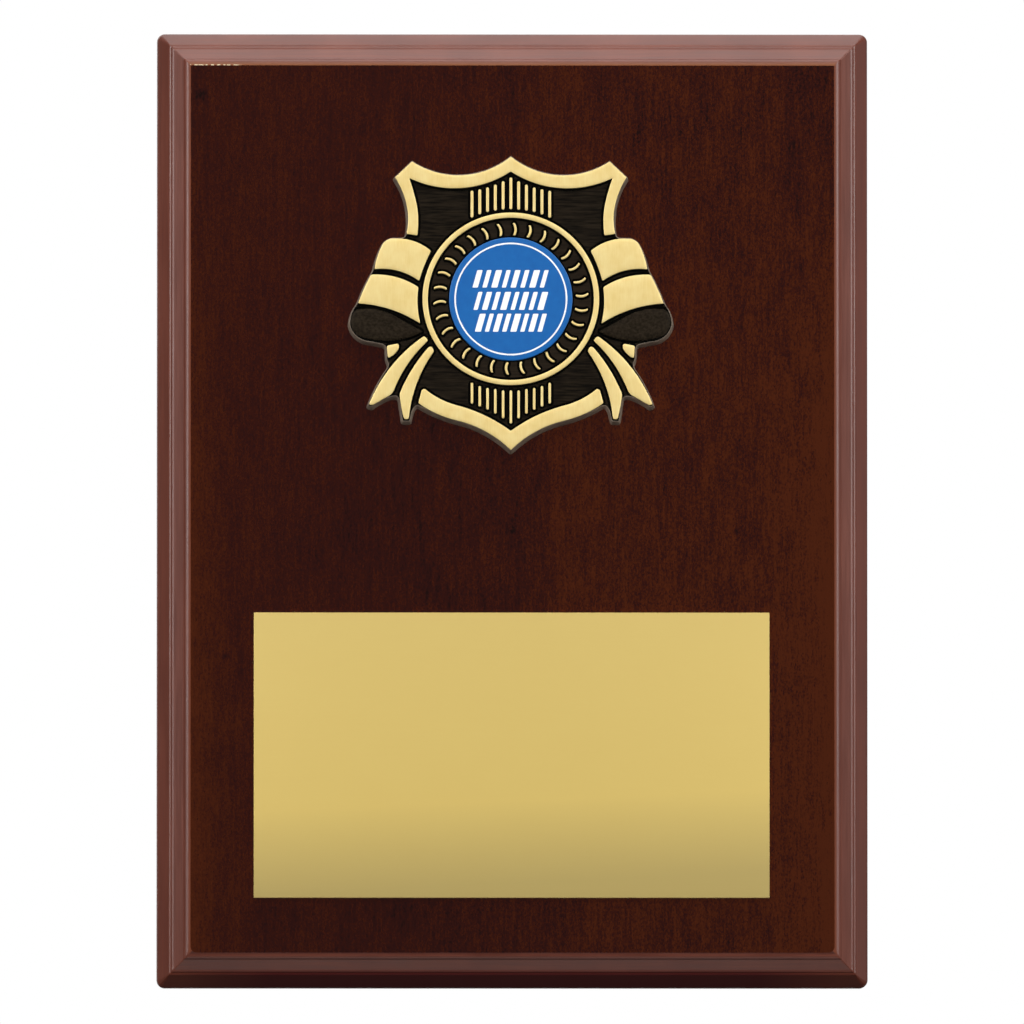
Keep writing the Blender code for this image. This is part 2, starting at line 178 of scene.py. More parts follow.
# Outlines of the emblem's left half. Each edge is its start, and for a curved edge a point that it passes,
# and it ends where the next edge starts.
CASTING = (
    ((0, 30.25), (-10.6, 26.25)),
    ((-20.85, 29.2),),
    ((-24.65, 25.6), (-22.75, 22.0)),
    ((-21.9, 18.0), (-21.85, 15.6)),
    ((-22.3, 12.9),),
    ((-24.6, 12.9), (-26.45, 12.3)),
    ((-27.4, 11.05), (-28.3, 8.85)),
    ((-29.0, 6.25),),
    ((-29.65, 5.1), (-31.1, 2.25)),
    ((-32.4, -0.95), (-33.6, -2.95)),
    ((-34.05, -5.25), (-32.7, -7.8)),
    ((-29.8, -9.05), (-28.2, -9.4)),
    ((-26.4, -9.75),),
    ((-26.2, -12.75),),
    ((-25.7, -14.1), (-28.1, -17.85)),
    ((-30.15, -22.5),),
    ((-29.35, -22.85), (-27.3, -21.5)),
    ((-24.95, -20.5),),
    ((-23.6, -20.7), (-23.25, -23.2)),
    ((-22.85, -25.85),),
    ((-21.25, -25.85),),
    ((-20.6, -23.2),),
    ((-19.7, -22.3), (-15.5, -24.45)),
    ((-11.0, -25.95), (-6.0, -27.8)),
    ((0, -32.15),),
)
UPPER_BORDER = (
    ((0, 30.0), (-10.6, 26.05)),
    ((-20.8, 28.98),),
    ((-24.4, 25.6), (-22.6, 22.0)),
    ((-21.7, 18.2), (-21.67, 16.0)),
    ((-22.0, 13.7),),
    ((-19.7, 13.35), (-19.5, 16.5)),
    ((-19.8, 19.8), (-20.4, 22.3)),
    ((-21.4, 25.45), (-10.9, 23.32)),
    ((0, 26.85),),
)
LOWER_BORDER = (
    ((0, -27.85), (-6.3, -24.2)),
    ((-11.0, -22.55), (-14.6, -21.25)),
    ((-18.15, -18.95),),
    ((-18.75, -19.2),),
    ((-19.5, -22.0), (-15.5, -24.28)),
    ((-11.0, -25.75), (-6.0, -27.6)),
    ((0, -31.9),),
)
UPPER_FOLD = (
    ((-28.75, 6.2), (-28.1, 8.95)),
    ((-27.25, 11.05), (-26.35, 12.2)),
    ((-24.55, 12.7), (-20.55, 12.2)),
    ((-16.8, 10.1), (-18.25, 6.95)),
    ((-19.3, 3.75), (-23.65, 5.85)),
)
LOWER_FOLD = (
    ((-32.2, -1.0), (-30.9, 2.2)),
    ((-29.45, 5.1), (-24.45, 4.65)),
    ((-19.45, 2.45), (-19.65, -1.15)),
    ((-19.05, -5.25), (-25.15, -2.3)),
)
LEAF = (
    ((-32.55, -2.2), (-28.6, -2.15)),
    ((-23.2, -4.25), (-20.7, -5.65)),
    ((-18.5, -6.85), (-24.7, -8.75)),
    ((-31.8, -7.85), (-33.65, -5.05)),
)
WEDGE = (
    ((-26.15, -9.9),),
    ((-25.9, -12.55), (-24.45, -11.6)),
    ((-23.55, -10.35),),
    ((-23.65, -9.4),),
)
OUTER_TAIL = (
    ((-18.25, -7.8), (-24.55, -13.45)),
    ((-29.9, -22.3),),
    ((-29.15, -22.45),),
    ((-25.25, -20.2),),
    ((-24.75, -19.6), (-22.2, -14.5)),
    ((-17.35, -8.75),),
)
INNER_TAIL = (
    ((-17.25, -10.1), (-20.35, -14.15)),
    ((-23.45, -20.1), (-23.1, -22.6)),
    ((-22.5, -25.4),),
    ((-21.5, -25.4), (-19.9, -18.1)),
    ((-16.15, -11.05),),
    ((-16.6, -10.1),),
)
BORDER_ROUND = 0.25
HOLLOW_ROUND = 0.85
FOLD_ROUND = 0.35
TAIL_ROUND = 0.45
ROUND_STEPS = 6
TRIM_SHARE = 0.45

# How far each kind of raised shape swells above its edges, and over what width
BORDER_CROWN = (0.04, 0.8)
FOLD_CROWN = (0.12, 2.4)
TAIL_CROWN = (0.08, 1.1)
RING_CROWN = (0.06, 0.5)
RAY_CROWN = (0.06, 0.4)
MARK_CROWN = (0.06, 0.25)

# The printed insert, with its white ring and its three rows of plain strokes
DISC_RADIUS = 13.0
DISC_BOTTOM = 2.0
DISC_TOP = 3.2
DISC_EDGE = 0.2
DISC_EDGE_STEPS = 4
DISC_SIDES = 240
PRINT_RING = (11.56, 11.9)
STROKE_ROWS = ((6.1, 2.4), (1.5, -2.3), (-3.1, -6.9))
STROKE_ENDS = ((-8.1, 8.0), (-7.9, 7.9), (-7.6, 7.6))
STROKES_IN_ROW = 8
STROKE_WIDTHS = (1.15, 0.9, 1.3, 0.95)
STROKE_SLANT = 0.28
STROKE_ROUND = 0.2

# Colours are display values from 0 to 255, and most of a noise lies in this range
WHITE = (255, 255, 255)
NOISE_RANGE = (0.3, 0.7)


def linear(red, green, blue):
    """A display colour as the linear values that a shader takes."""
    parts = [value / 255 for value in (red, green, blue)]
    parts = [p / 12.92 if p <= 0.04045 else ((p + 0.055) / 1.055) ** 2.4 for p in parts]
    return (*parts, 1.0)


class Finish:
    """A node material that is being put together."""

    def __init__(self, name, roughness, metallic=0.0, specular=0.5):
        self.material = bpy.data.materials.new(name)
        self.material.use_nodes = True
        self.tree = self.material.node_tree
        self.shader = self.tree.nodes["Principled BSDF"]
        self.place = self.tree.nodes.new("ShaderNodeTexCoord").outputs["Object"]
        self.set("Roughness", roughness)
        self.set("Metallic", metallic)
        self.set("Specular IOR Level", specular)

    def set(self, socket, value):
        """Gives a socket of the shader a value of its own or the output of a node."""
        self.feed(self.shader.inputs[socket], value)

    def feed(self, socket, value):
        if isinstance(value, bpy.types.NodeSocket):
            self.tree.links.new(value, socket)
        elif socket.type == "RGBA":
            socket.default_value = linear(*value)
        else:
            socket.default_value = value

    def node(self, kind, inputs, **settings):
        item = self.tree.nodes.new(kind)
        for name, value in settings.items():
            setattr(item, name, value)
        for name, value in inputs.items():
            self.feed(item.inputs[name], value)
        return item

    def noise(self, size, detail=2.0, shift=0.0):
        """Noise whose blotches are size = (x, y, z) millimetres across."""
        scale = [1 / (width * MM) for width in size]
        inputs = {"Vector": self.place, "Scale": scale, "Location": (shift,) * 3}
        spread = self.node("ShaderNodeMapping", inputs).outputs[0]
        inputs = {"Vector": spread, "Scale": 1.0, "Detail": detail, "Roughness": 0.55}
        return self.node("ShaderNodeTexNoise", inputs).outputs["Fac"]

    def ramp(self, value, stops):
        """Colours by value, from stops of (position, colour)."""
        item = self.node("ShaderNodeValToRGB", {"Fac": value})
        elements = item.color_ramp.elements
        while len(elements) < len(stops):
            elements.new(0.5)
        for element, (position, colour) in zip(elements, stops):
            element.position = position
            element.color = linear(*colour)
        return item.outputs["Color"]

    def paint(self, value, stops):
        self.set("Base Color", self.ramp(value, stops))

    def span(self, value, low, high, to_low=0.0, to_high=1.0):
        """Maps value from low..high to to_low..to_high, held at the ends."""
        inputs = {"Value": value, "From Min": low, "From Max": high, "To Min": to_low, "To Max": to_high}
        return self.node("ShaderNodeMapRange", inputs).outputs["Result"]

    def swing(self, noise, low, high):
        """Maps most of a noise to low..high."""
        return self.span(noise, *NOISE_RANGE, low, high)

    def math(self, operation, total, *values):
        """Applies the operation to a first value and each of the others in turn."""
        for value in values:
            total = self.node("ShaderNodeMath", {0: total, 1: value}, operation=operation).outputs[0]
        return total

    def times(self, *values):
        return self.math("MULTIPLY", *values)

    def mix(self, share, first, second, blend="MIX"):
        """Mixes two colours, or multiplies the second onto the first."""
        item = self.node("ShaderNodeMix", {"Factor": share}, data_type="RGBA", blend_type=blend)
        colours = [socket for socket in item.inputs if socket.type == "RGBA"]
        self.feed(colours[0], first)
        self.feed(colours[1], second)
        return next(socket for socket in item.outputs if socket.type == "RGBA")

    def along(self, axis):
        """The object's own x, y or z, in metres."""
        return self.node("ShaderNodeSeparateXYZ", {"Vector": self.place}).outputs[axis]

    def spot(self, x, z, radius):
        """One at (x, z), falling to nought at the radius."""
        ways = [self.math("SUBTRACT", self.along(axis), at) for axis, at in (("X", x), ("Z", z))]
        square = self.math("ADD", *(self.times(way, way) for way in ways))
        return self.span(self.math("POWER", square, 0.5), radius, 0)

    def bump(self, height, depth):
        """Fine surface relief of the given depth in millimetres."""
        inputs = {"Height": height, "Distance": depth * MM, "Strength": 1.0}
        self.set("Normal", self.node("ShaderNodeBump", inputs).outputs["Normal"])


def lacquered_face():
    """Dark red-brown wood under a glossy lacquer. Its tone changes at a slanting joint."""
    finish = Finish("lacquered_face", 0.16)
    across = finish.along("X")
    up = finish.along("Z")
    margin = finish.math("SUBTRACT", BOARD_WIDTH / 2 - FACE_INSET, finish.math("ABSOLUTE", across, 0.0))
    drift = finish.swing(finish.noise((30, 60, 26), 2, 4.2), -1.5 * MM, 1.5 * MM)
    beside = finish.math("ADD", across, drift, finish.times(up, JOINT_SLANT))
    above = finish.span(up, BOARD_HEIGHT / 2, 0, 0.35, 1.0)
    fuller = finish.times(above, finish.span(up, -30 * MM, -BOARD_HEIGHT / 2, 1.0, 0.75))
    zones = (
        (finish.span(across, -60 * MM, FACE_DARKEST, 0, -0.13), fuller),
        (finish.span(across, FACE_DARKEST, FACE_JOINT, 0, 0.13), fuller),
        (finish.span(beside, FACE_JOINT - 2 * MM, FACE_JOINT + 2 * MM, 0, 0.17), fuller),
        (finish.span(across, -70 * MM, -52 * MM, 1, 0), finish.span(up, 60 * MM, -40 * MM, -0.05, 0.2)),
        (finish.span(across, FACE_GLOW, 68 * MM), finish.span(up, 80 * MM, 10 * MM, -0.14, 0.28)),
        (finish.span(margin, 6 * MM, 0), finish.span(up, 80 * MM, 30 * MM, 0, 0.24)),
    )
    tone = finish.math("ADD", *(finish.times(*zone) for zone in zones))
    layers = (
        ((4.5, 30, 11), 3, 1.3, 0.1),
        ((1.1, 30, 30), 3, 3.7, 0.05),
        ((0.45, 30, 5), 2, 5.9, 0.12),
        ((0.3, 9, 0.5), 1, 8.1, 0.19),
    )
    swings = [finish.swing(finish.noise(*layer), -depth, depth) for *layer, depth in layers]
    stronger = finish.span(across, -30 * MM, 30 * MM, 1.0, 1.6)
    grain = finish.times(finish.math("ADD", *swings), stronger)
    knots = finish.math("ADD", *(finish.spot(*knot) for knot in FACE_KNOTS))
    tone = finish.math("ADD", tone, grain, 0.5, finish.times(knots, -0.45))
    stops = ((0.05, (22, 6, 4)), (0.2, (37, 10, 8)), (0.5, (49, 14, 6)), (0.8, (61, 22, 5)), (1, (69, 27, 7)))
    colour = finish.ramp(tone, stops)
    flecks = finish.noise((0.2, 8, 0.9), 1, 5.3)
    shade = finish.ramp(flecks, ((0.68, WHITE), (0.76, (203, 203, 203))))
    finish.set("Base Color", finish.mix(1.0, colour, shade, "MULTIPLY"))
    finish.bump(finish.noise((0.45, 30, 5), 2, 5.9), 0.002)
    return finish


def satin_edge(name, specular):
    """The moulded edge: the same wood, lighter and with a soft sheen, streaked along each side.

    It is warmer next to the face, and along the top that warm band is also lighter, a painted highlight.
    Along the bottom it has painted shade, darker on the bead next to the face and on the lower slope, where
    the slope is duller too.
    A row of painted glints, small pale dashes, lies along the face's upper left corner.
    """
    finish = Finish(name, 0.42, specular=specular)
    across = finish.along("X")
    up = finish.along("Z")
    top = BOARD_HEIGHT / 2 - FACE_INSET
    beside = finish.math("SUBTRACT", finish.math("ABSOLUTE", across, 0.0), BOARD_WIDTH / 2 - FACE_INSET)
    above = finish.math("SUBTRACT", up, top)
    below = finish.math("SUBTRACT", -top, up)
    past = finish.math("SUBTRACT", finish.math("MAXIMUM", above, below), beside)
    level = finish.span(past, -0.1 * MM, 0.1 * MM)
    upright = finish.math("SUBTRACT", 1.0, level)
    over = finish.times(level, finish.span(up, -MM, MM))
    under = finish.math("SUBTRACT", level, over)
    streaks = finish.mix(level, finish.noise((0.5, 0.5, 14), 3, 6.1), finish.noise((14, 0.5, 0.5), 3, 7.3))
    tone = finish.math("ADD", finish.noise((14, 14, 50), 3, 1.9), finish.swing(streaks, -0.2, 0.2))
    colour = finish.ramp(tone, ((0.25, (94, 46, 33)), (0.5, (103, 52, 38)), (0.75, (113, 59, 44))))
    # Painted glints: pale dashes along the top edge next to the face, at its upper left corner
    painted_glints = finish.span(finish.noise((0.7, 3, 3), 1, 2.2), 0.44, 0.5)
    row = (finish.span(across, -57 * MM, -59 * MM), finish.span(above, 0.24 * MM, 0.16 * MM))
    painted_glints = finish.times(painted_glints, *row)
    # Painted shade on the lower slope: strongest in the middle of the bottom, fading towards the corners
    middle = finish.span(beside, -16 * MM, 2 * MM, 1.0, 0.2)
    painted_slope_shade = finish.times(middle, finish.span(below, 3.4 * MM, 4.3 * MM))
    for where, share, tint in (
        (upright, finish.span(beside, 0.6 * MM, 0.2 * MM), (108, 52, 27)),
        # warm, and lighter than at the sides: a painted highlight along the top bead
        (over, finish.span(above, 0.9 * MM, 0.1 * MM), (130, 76, 42)),
        # painted glints
        (over, painted_glints, (226, 206, 168)),
        # painted shade on the bottom bead next to the face
        (under, finish.span(below, 0.5 * MM, 0, 0, 0.8), (48, 18, 14)),
        # painted shade on the lower slope
        (under, painted_slope_shade, (76, 24, 22)),
    ):
        colour = finish.mix(finish.times(where, share), colour, tint)
    finish.set("Base Color", colour)
    finish.set("Roughness", finish.swing(streaks, 0.38, 0.46))
    finish.bump(streaks, 0.003)
    return finish


def sealed_back():
    """The back: the same wood, only sealed, with coarser grain."""
    finish = Finish("sealed_back", 0.6, specular=0.35)
    broad = finish.noise((12, 40, 70), 3, 2.2)
    streaks = finish.noise((0.6, 30, 18), 4, 9.4)
    tone = finish.math("ADD", broad, finish.swing(streaks, -0.15, 0.15))
    finish.paint(tone, ((0.3, (56, 27, 20)), (0.5, (76, 38, 27)), (0.72, (96, 50, 34))))
    finish.bump(streaks, 0.02)
    return finish


def polished_gold():
    """The casting's raised lines: pale gold, satin, with fine scratches."""
    finish = Finish("polished_gold", 0.45, metallic=0.25)
    scratches = finish.noise((0.12, 4, 2.2), 3, 4.4)
    cloud = finish.noise((3, 3, 3), 2, 7.7)
    tone = finish.math("ADD", finish.swing(scratches, 0.4, 0.6), finish.swing(cloud, -0.12, 0.12))
    finish.paint(tone, ((0.25, (237, 206, 128)), (0.5, (244, 217, 145)), (0.8, (250, 229, 162))))
    finish.set("Roughness", finish.swing(scratches, 0.4, 0.5))
    finish.bump(scratches, 0.002)
    return finish


def blackened_groove():
    """The paint-filled hollows that hug the raised lines."""
    finish = Finish("blackened_groove", 0.8, specular=0.03)
    cloud = finish.noise((0.8, 0.8, 0.8), 2, 1.1)
    finish.paint(cloud, ((0.35, (2, 2, 1)), (0.7, (9, 8, 5))))
    return finish


def dark_ground(name, marks, dark, light):
    """The casting's blackened ground, with faint marks of the given size in millimetres."""
    finish = Finish(name, 0.6, specular=0.06)
    brush = finish.noise(marks, 3, 2.9)
    cloud = finish.noise((4, 4, 3), 2, 6.6)
    tone = finish.math("ADD", finish.span(brush, 0.35, 0.65, 0.1, 0.9), finish.swing(cloud, -0.1, 0.1))
    finish.paint(tone, ((0.1, dark), (0.9, light)))
    finish.bump(brush, 0.01)
    return finish


def casting_side():
    """The casting's outer walls, thinly blackened over grey metal."""
    finish = Finish("casting_side", 0.45, metallic=0.3)
    cloud = finish.noise((1.2, 1.2, 1.2), 3, 3.3)
    finish.paint(cloud, ((0.3, (104, 92, 80)), (0.7, (140, 124, 108))))
    return finish


def printed(name, dark, light):
    """Print under a clear coat."""
    finish = Finish(name, 0.45)
    finish.set("Coat Weight", 0.25)
    finish.set("Coat Roughness", 0.15)
    cloud = finish.noise((1.5, 1.5, 1.5), 3, 5.9)
    finish.paint(cloud, ((0.3, dark), (0.7, light)))
    return finish


def plate_metal():
    """The plate: satin gold, finely brushed across, with painted shade that darkens it towards its lower edge
    and a little towards its top.
    """
    finish = Finish("plate_metal", 0.55, metallic=0.25)
    brush = finish.noise((9, 9, 0.1), 2, 3.1)
    cloud = finish.noise((14, 14, 9), 2, 8.8)
    tone = finish.math("ADD", finish.swing(brush, 0.45, 0.55), finish.swing(cloud, -0.04, 0.04))
    colour = finish.ramp(tone, ((0.3, (222, 192, 108)), (0.7, (225, 197, 112))))
    low = PLATE_CENTRE[1] - PLATE_HEIGHT / 2
    up = finish.along("Z")
    # Painted shade: darker and cooler from the lower edge up along a slant (fade), a little darker towards
    # the top (sheen)
    slanted = finish.math("SUBTRACT", up, finish.times(finish.along("X"), PLATE_SLANT))
    fade = finish.span(slanted, low + PLATE_FADE[0], low + PLATE_FADE[1])
    sheen = finish.span(up, low + PLATE_FADE[1], low + PLATE_HEIGHT)
    for share, lowest, highest in ((fade, (223, 226, 241), WHITE), (sheen, WHITE, (235, 236, 240))):
        colour = finish.mix(1.0, colour, finish.ramp(share, ((0, lowest), (1, highest))), "MULTIPLY")
    finish.set("Base Color", colour)
    finish.bump(brush, 0.002)
    return finish


def pale_floor():
    """A pale floor that glows to the eye alone, so that it throws little light up at the plaque."""
    finish = Finish("pale_floor", 0.8, specular=0.1)
    cloud = finish.noise((400, 400, 400), 2)
    finish.paint(cloud, ((0.3, (120, 120, 120)), (0.7, (128, 128, 128))))
    seen = finish.node("ShaderNodeLightPath", {}).outputs["Is Camera Ray"]
    finish.set("Emission Color", (236, 236, 236))
    finish.set("Emission Strength", finish.times(seen, 0.85))
    return finish


def write_smooth(bm, mesh):
    """Writes a bmesh into a mesh, shaded smooth but for its sharp edges."""
    bmesh.ops.recalc_face_normals(bm, faces=bm.faces)
    for face in bm.faces:
        face.smooth = True
    for edge in bm.edges:
        edge.smooth = len(edge.link_faces) == 2 and edge.calc_face_angle(0.0) < SHARP_ANGLE
    bm.to_mesh(mesh)
    bm.free()


def add_object(name, data):
    item = bpy.data.objects.new(name, data)
    bpy.context.scene.collection.objects.link(item)
    return item


def new_piece(name, bm, finishes):
    """Turns a bmesh into an object."""
    mesh = bpy.data.meshes.new(name)
    write_smooth(bm, mesh)
    for finish in finishes:
        mesh.materials.append(finish.material)
    return add_object(name, mesh)


def band(bm, near, far, kind=0):
    """A strip of faces between two matching rings of vertices."""
    for i in range(len(near)):
        j = (i + 1) % len(near)
        bm.faces.new((near[i], near[j], far[j], far[i])).material_index = kind


def stand_in(piece, node):
    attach(piece, "root")
    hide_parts(node)


def whole(half):
    """The full outline of a shape whose left half starts and ends on the emblem's upright axis."""
    right = []
    for i in range(len(half) - 1, 0, -1):
        right.append(tuple((-x, z) for x, z in (half[i][0], *half[i - 1][1:])))
    return (*half[:-1], *right)


def straight(start, end, trims):
    """The two ends of a straight edge, each moved in by its trim."""
    shares = [trim / math.dist(start, end) for trim in trims]
    return [tuple(a + (b - a) * t for a, b in zip(start, end)) for t in (shares[0], 1 - shares[1])]


def circle_through(a, b, c):
    """Centre and radius of the circle through three points."""
    cross = 2 * (a[0] * (b[1] - c[1]) + b[0] * (c[1] - a[1]) + c[0] * (a[1] - b[1]))
    squares = [p[0] ** 2 + p[1] ** 2 for p in (a, b, c)]
    x = (squares[0] * (b[1] - c[1]) + squares[1] * (c[1] - a[1]) + squares[2] * (a[1] - b[1])) / cross
    y = (squares[0] * (c[0] - b[0]) + squares[1] * (a[0] - c[0]) + squares[2] * (b[0] - a[0])) / cross
    return (x, y), math.dist(a, (x, y))


def curved(start, middle, end, trims):
    """Points along the arc from start through middle to end, short of each end by its trim."""
    centre, radius = circle_through(start, middle, end)
    first = math.atan2(start[1] - centre[1], start[0] - centre[0])
    last = math.atan2(end[1] - centre[1], end[0] - centre[0])
    turn = (last - first + math.pi) % math.tau - math.pi
    skips = [math.copysign(trim / radius, turn) for trim in trims]
    first += skips[0]
    turn -= sum(skips)
    steps = max(1, math.ceil(abs(turn) / ARC_STEP))
    angles = [first + turn * i / steps for i in range(steps + 1)]
    return [(centre[0] + radius * math.cos(a), centre[1] + radius * math.sin(a)) for a in angles]


def turning(a, b, c):
    """Above zero where the way from a through b to c turns left."""
    return (b[0] - a[0]) * (c[1] - b[1]) - (b[1] - a[1]) * (c[0] - b[0])


def signed_area(points):
    x, y = np.asarray(points).T
    return float(np.sum(x * np.roll(y, -1) - np.roll(x, -1) * y) / 2)


def next_point(outline, i):
    """What follows the start of edge i: the point that it passes, or its end if it is straight."""
    return outline[i][1] if len(outline[i]) == 2 else outline[(i + 1) % len(outline)][0]


def bend(start, corner, end, steps):
    """Points between start and end, curving past the corner between them."""
    points = []
    for k in range(1, steps):
        t = k / steps
        weights = ((1 - t) ** 2, 2 * t * (1 - t), t * t)
        points.append(tuple(sum(w * p[j] for w, p in zip(weights, (start, corner, end))) for j in (0, 1)))
    return points


def trace(outline, rounding, inner_rounding=None):
    """Points round a closed outline, with each corner rounded from `rounding` before it to as far after.

    Corners that point into the shape may have a rounding of their own.
    """
    area = signed_area([edge[0] for edge in outline])
    rounds = []
    for i, edge in enumerate(outline):
        inward = turning(outline[i - 1][-1], edge[0], next_point(outline, i)) * area < 0
        rounds.append(inner_rounding if inward and inner_rounding else rounding)
    runs = []
    for i, edge in enumerate(outline):
        end = outline[(i + 1) % len(outline)][0]
        longest = TRIM_SHARE * math.dist(edge[0], end)
        trims = [min(size, longest) for size in (rounds[i], rounds[(i + 1) % len(outline)])]
        runs.append(curved(*edge, end, trims) if len(edge) == 2 else straight(edge[0], end, trims))
    points = []
    for i, run in enumerate(runs):
        corner = outline[(i + 1) % len(outline)][0]
        leave = runs[(i + 1) % len(runs)][0]
        points += run + bend(run[-1], corner, leave, ROUND_STEPS)
    return spaced(points)


def spaced(points):
    """The closed outline as an array, with long edges divided and all but repeated points left out."""
    dense = []
    for i, start in enumerate(points):
        end = points[(i + 1) % len(points)]
        length = math.dist(start, end)
        if length > LOOP_CLEARANCE:
            parts = math.ceil(length / LOOP_STEP)
            dense += [tuple(a + (b - a) * k / parts for a, b in zip(start, end)) for k in range(parts)]
    return np.array(dense)


def both_sides(outline, rounding):
    """A shape of the left half and its twin on the right."""
    left = trace(outline, rounding)
    return [left, left * (-1, 1)]


def circle(radius, sides, stretch=1.0):
    angles = np.arange(sides) * math.tau / sides
    return np.stack((radius * stretch * np.cos(angles), radius * np.sin(angles)), axis=1)


def upright_bar(x, low, high, radius, steps):
    """Points round an upright bar whose round ends are centred on low and high."""
    points = []
    for centre, first in ((high, 0), (low, math.pi)):
        for i in range(steps + 1):
            angle = first + math.pi * i / steps
            points.append((x + radius * math.cos(angle), centre + radius * math.sin(angle)))
    return points


def mark(number):
    """One curved mark, bowed clockwise and leaning a little back at its outer end."""
    angle = math.radians(90 - MARK_FIRST - number * 360 / MARKS)
    out = (math.cos(angle), math.sin(angle))
    side = (out[1], -out[0])
    length = MARK_OUTER - MARK_INNER

    def spot(reach, swing):
        return ((reach * out[0] + swing * side[0]) * RING_STRETCH, reach * out[1] + swing * side[1])

    edges = []
    for half_width in (-MARK_WIDTH / 2, MARK_WIDTH / 2):
        edge = []
        for i in range(MARK_STEPS + 1):
            t = i / MARK_STEPS
            swing = 4 * MARK_BOW * t * (1 - t) - MARK_LEAN * (t - 0.5) + half_width
            edge.append(spot(MARK_INNER + length * t, swing))
        edges.append(edge)
    cap = MARK_WIDTH / 2
    outer = bend(edges[0][-1], spot(MARK_OUTER + cap, -MARK_LEAN / 2), edges[1][-1], MARK_CAP_STEPS)
    inner = bend(edges[1][0], spot(MARK_INNER - cap, MARK_LEAN / 2), edges[0][0], MARK_CAP_STEPS)
    return spaced(edges[0] + outer + edges[1][::-1] + inner)


def rays():
    """The upright rays above and below the ring, eleven in each group."""
    bars = []
    for ends, width in ((UPPER_RAYS, UPPER_RAY_WIDTH), (LOWER_RAYS, LOWER_RAY_WIDTH)):
        radius = width / 2
        for i, (bottom, top) in enumerate(ends):
            for x in (-i * RAY_SPACING, i * RAY_SPACING) if i else (0,):
                bars.append(spaced(upright_bar(x, bottom + radius, top - radius, radius, RAY_END_STEPS)))
    return bars


def gold_shapes():
    """The raised shapes, each with its loops (a second one is a hole) and its crown."""
    shapes = []
    for outline in (UPPER_BORDER, LOWER_BORDER):
        shapes.append(([trace(whole(outline), BORDER_ROUND)], BORDER_CROWN))
    for outline in (UPPER_FOLD, LOWER_FOLD):
        shapes += [([loop], FOLD_CROWN) for loop in both_sides(outline, FOLD_ROUND)]
    for outline in (WEDGE, OUTER_TAIL, INNER_TAIL):
        shapes += [([loop], TAIL_CROWN) for loop in both_sides(outline, TAIL_ROUND)]
    shapes += [([loop], RAY_CROWN) for loop in rays()]
    shapes += [([mark(number)], MARK_CROWN) for number in range(MARKS)]
    ring = [circle(radius, RING_SIDES, RING_STRETCH) for radius in (RING_OUTER, RING_INNER)]
    shapes.append((ring, RING_CROWN))
    return shapes


def normals_of(loop):
    """Unit normals at the points of a closed loop, pointing out of it."""
    along = np.roll(loop, -1, axis=0) - np.roll(loop, 1, axis=0)
    outward = np.stack((along[:, 1], -along[:, 0]), axis=1) * math.copysign(1, signed_area(loop))
    return outward / np.linalg.norm(outward, axis=1, keepdims=True)


def depth_in_loop(points, loop):
    """How far each point lies inside a closed loop. Outside it is below zero, and -FIELD_REACH when far."""
    depths = np.full(len(points), -FIELD_REACH)
    low = loop.min(axis=0) - FIELD_REACH
    high = loop.max(axis=0) + FIELD_REACH
    near = np.nonzero(((points > low) & (points < high)).all(axis=1))[0]
    edges = np.roll(loop, -1, axis=0) - loop
    lengths = (edges ** 2).sum(axis=1)
    ends = np.roll(loop[:, 1], -1)
    for first in range(0, len(near), CHUNK):
        chosen = near[first:first + CHUNK]
        away = points[chosen][:, None, :] - loop
        share = np.clip((away * edges).sum(axis=2) / lengths, 0, 1)
        gap = np.sqrt(((away - share[:, :, None] * edges) ** 2).sum(axis=2).min(axis=1))
        height = points[chosen][:, 1:2]
        spans = (loop[:, 1] > height) != (ends > height)
        slope = edges[:, 0] / np.where(edges[:, 1] == 0, 1, edges[:, 1])
        crossed = spans & (away[:, :, 0] < away[:, :, 1] * slope)
        inside = crossed.sum(axis=1) % 2 == 1
        depths[chosen] = np.where(inside, gap, -np.minimum(gap, FIELD_REACH))
    return depths


def depth_in_shape(points, loops):
    """How far each point lies inside a shape with an outer loop and perhaps a hole."""
    depth = depth_in_loop(points, loops[0])
    for hole in loops[1:]:
        depth = np.minimum(depth, -depth_in_loop(points, hole))
    return depth


def swell(depth, crown):
    """The rise of a rounded top at a depth inside its shape."""
    rise, width = crown
    return rise * (1 - (1 - np.clip(depth / width, 0, 1)) ** 2)


def rounded_step(depth, radius):
    """How far an edge that is rounded to a radius falls short of full height."""
    inward = 1 - np.clip(depth / radius, 0, 1)
    return radius * (1 - np.sqrt(1 - inward ** 2))


